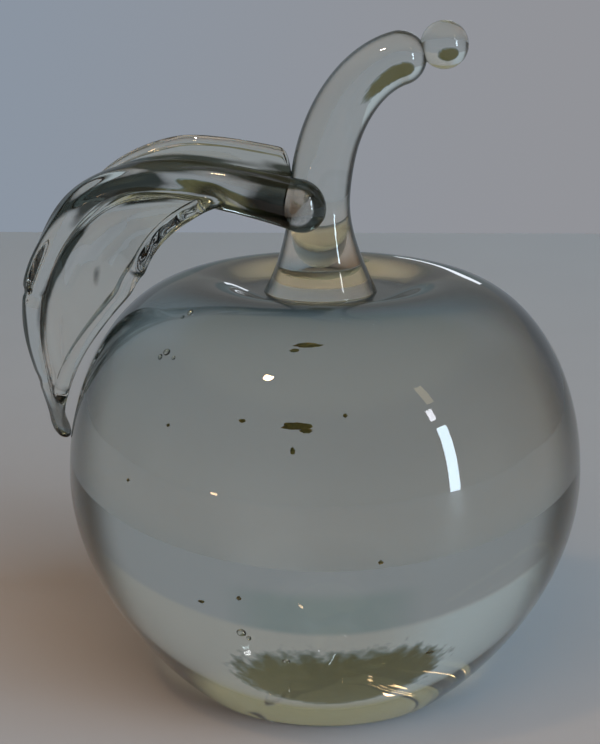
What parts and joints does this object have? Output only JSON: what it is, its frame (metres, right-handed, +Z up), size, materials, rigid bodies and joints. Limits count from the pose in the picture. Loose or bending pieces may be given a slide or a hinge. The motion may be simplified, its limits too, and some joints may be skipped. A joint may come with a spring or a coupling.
{
  "type": "art glass apple",
  "caption": "Solid clear glass apple paperweight with a flat ground base, a curved stem ending in a small bead, and an arched folded glass leaf fused to the stem.",
  "frame": {"origin": "centre of the flat ground base, on the surface that the apple stands on", "axes": "+Z up along the body's turning axis; the stem bends toward +X and the leaf arches toward -X and droops a little behind the axis, toward +Y; -Y faces the viewer"},
  "size_m": [0.0836, 0.076, 0.0991],
  "materials": {
    "body_glass": "fire polished clear soda glass with a faint straw tint, foot ground flat",
    "stem_glass": "fire polished clear soda glass, drawn rod",
    "leaf_glass": "fire polished clear soda glass, pressed and folded"
  },
  "bodies": {
    "root": {"apple_body": "body_glass", "stem": "stem_glass", "stem_knob": "stem_glass", "leaf": "leaf_glass"}
  },
  "joints": []
}
